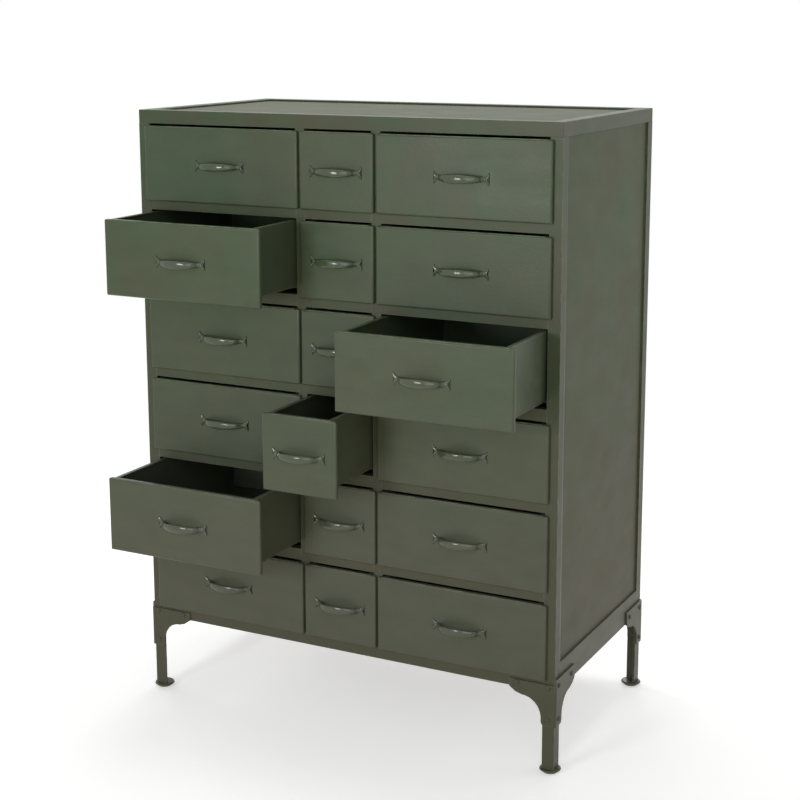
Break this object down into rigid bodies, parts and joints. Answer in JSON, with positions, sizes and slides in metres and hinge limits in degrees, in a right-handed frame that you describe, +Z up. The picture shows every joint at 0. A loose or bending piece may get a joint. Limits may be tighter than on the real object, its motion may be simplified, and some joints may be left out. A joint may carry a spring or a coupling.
{
  "type": "metal drawer cabinet",
  "caption": "Tall sheet-steel drawer cabinet on angle-iron legs with corner brackets and round glides; overlay drawer fronts with cast bow handles, some drawers standing open.",
  "frame": {"origin": "on the floor, under the centre of the bounding box of the cabinet with its drawers as pictured", "axes": "+X to the right seen from the front, +Y from the drawer fronts to the back, +Z up"},
  "size_m": [0.948, 0.6983, 1.25],
  "materials": {
    "frame_paint": "semi-gloss warm grey-green paint, slightly mottled",
    "sheet_paint": "semi-gloss warm grey paint, slightly mottled",
    "drawer_paint": "semi-gloss grey-green paint",
    "handle_paint": "glossier grey-green paint over cast metal",
    "glide_steel": "grey-green paint, scuffed at the base"
  },
  "bodies": {
    "carcass": {"top_rim": "frame_paint", "top_panel": "sheet_paint", "side_panel_left": "sheet_paint", "side_panel_right": "sheet_paint", "back_panel": "sheet_paint", "bottom_panel": "sheet_paint", "partition_left": "frame_paint", "partition_right": "frame_paint", "front_rails": "frame_paint", "base_rails": "frame_paint", "runners_left": "sheet_paint", "runners_middle": "sheet_paint", "runners_right": "sheet_paint", "corner_post_fl": "frame_paint", "corner_post_fr": "frame_paint", "corner_post_rl": "frame_paint", "corner_post_rr": "frame_paint", "corner_bracket_fl": "frame_paint", "corner_bracket_fr": "frame_paint", "corner_bracket_rl": "frame_paint", "corner_bracket_rr": "frame_paint", "bracket_rivets": "frame_paint", "feet": "glide_steel"},
    "drawer_body_r1c1": {"drawer_r1c1": "drawer_paint", "handle_r1c1": "handle_paint"},
    "drawer_body_r1c2": {"drawer_r1c2": "drawer_paint", "handle_r1c2": "handle_paint"},
    "drawer_body_r1c3": {"drawer_r1c3": "drawer_paint", "handle_r1c3": "handle_paint"},
    "drawer_body_r2c1": {"drawer_r2c1": "drawer_paint", "handle_r2c1": "handle_paint"},
    "drawer_body_r2c2": {"drawer_r2c2": "drawer_paint", "handle_r2c2": "handle_paint"},
    "drawer_body_r2c3": {"drawer_r2c3": "drawer_paint", "handle_r2c3": "handle_paint"},
    "drawer_body_r3c1": {"drawer_r3c1": "drawer_paint", "handle_r3c1": "handle_paint"},
    "drawer_body_r3c2": {"drawer_r3c2": "drawer_paint", "handle_r3c2": "handle_paint"},
    "drawer_body_r3c3": {"drawer_r3c3": "drawer_paint", "handle_r3c3": "handle_paint"},
    "drawer_body_r4c1": {"drawer_r4c1": "drawer_paint", "handle_r4c1": "handle_paint"},
    "drawer_body_r4c2": {"drawer_r4c2": "drawer_paint", "handle_r4c2": "handle_paint"},
    "drawer_body_r4c3": {"drawer_r4c3": "drawer_paint", "handle_r4c3": "handle_paint"},
    "drawer_body_r5c1": {"drawer_r5c1": "drawer_paint", "handle_r5c1": "handle_paint"},
    "drawer_body_r5c2": {"drawer_r5c2": "drawer_paint", "handle_r5c2": "handle_paint"},
    "drawer_body_r5c3": {"drawer_r5c3": "drawer_paint", "handle_r5c3": "handle_paint"},
    "drawer_body_r6c1": {"drawer_r6c1": "drawer_paint", "handle_r6c1": "handle_paint"},
    "drawer_body_r6c2": {"drawer_r6c2": "drawer_paint", "handle_r6c2": "handle_paint"},
    "drawer_body_r6c3": {"drawer_r6c3": "drawer_paint", "handle_r6c3": "handle_paint"}
  },
  "joints": [
    {"name": "slide_r1c1", "type": "slide", "parent": "carcass", "child": "drawer_body_r1c1", "axis": [0, -1, 0], "range_m": [0, 0.3]},
    {"name": "slide_r1c2", "type": "slide", "parent": "carcass", "child": "drawer_body_r1c2", "axis": [0, -1, 0], "range_m": [0, 0.3]},
    {"name": "slide_r1c3", "type": "slide", "parent": "carcass", "child": "drawer_body_r1c3", "axis": [0, -1, 0], "range_m": [0, 0.3]},
    {"name": "slide_r2c1", "type": "slide", "parent": "carcass", "child": "drawer_body_r2c1", "axis": [0, -1, 0], "range_m": [-0.142, 0.158]},
    {"name": "slide_r2c2", "type": "slide", "parent": "carcass", "child": "drawer_body_r2c2", "axis": [0, -1, 0], "range_m": [0, 0.3]},
    {"name": "slide_r2c3", "type": "slide", "parent": "carcass", "child": "drawer_body_r2c3", "axis": [0, -1, 0], "range_m": [0, 0.3]},
    {"name": "slide_r3c1", "type": "slide", "parent": "carcass", "child": "drawer_body_r3c1", "axis": [0, -1, 0], "range_m": [0, 0.3]},
    {"name": "slide_r3c2", "type": "slide", "parent": "carcass", "child": "drawer_body_r3c2", "axis": [0, -1, 0], "range_m": [0, 0.3]},
    {"name": "slide_r3c3", "type": "slide", "parent": "carcass", "child": "drawer_body_r3c3", "axis": [0, -1, 0], "range_m": [-0.164, 0.136]},
    {"name": "slide_r4c1", "type": "slide", "parent": "carcass", "child": "drawer_body_r4c1", "axis": [0, -1, 0], "range_m": [0, 0.3]},
    {"name": "slide_r4c2", "type": "slide", "parent": "carcass", "child": "drawer_body_r4c2", "axis": [0, -1, 0], "range_m": [-0.152, 0.148]},
    {"name": "slide_r4c3", "type": "slide", "parent": "carcass", "child": "drawer_body_r4c3", "axis": [0, -1, 0], "range_m": [0, 0.3]},
    {"name": "slide_r5c1", "type": "slide", "parent": "carcass", "child": "drawer_body_r5c1", "axis": [0, -1, 0], "range_m": [-0.158, 0.142]},
    {"name": "slide_r5c2", "type": "slide", "parent": "carcass", "child": "drawer_body_r5c2", "axis": [0, -1, 0], "range_m": [0, 0.3]},
    {"name": "slide_r5c3", "type": "slide", "parent": "carcass", "child": "drawer_body_r5c3", "axis": [0, -1, 0], "range_m": [0, 0.3]},
    {"name": "slide_r6c1", "type": "slide", "parent": "carcass", "child": "drawer_body_r6c1", "axis": [0, -1, 0], "range_m": [0, 0.3]},
    {"name": "slide_r6c2", "type": "slide", "parent": "carcass", "child": "drawer_body_r6c2", "axis": [0, -1, 0], "range_m": [0, 0.3]},
    {"name": "slide_r6c3", "type": "slide", "parent": "carcass", "child": "drawer_body_r6c3", "axis": [0, -1, 0], "range_m": [0, 0.3]}
  ]
}
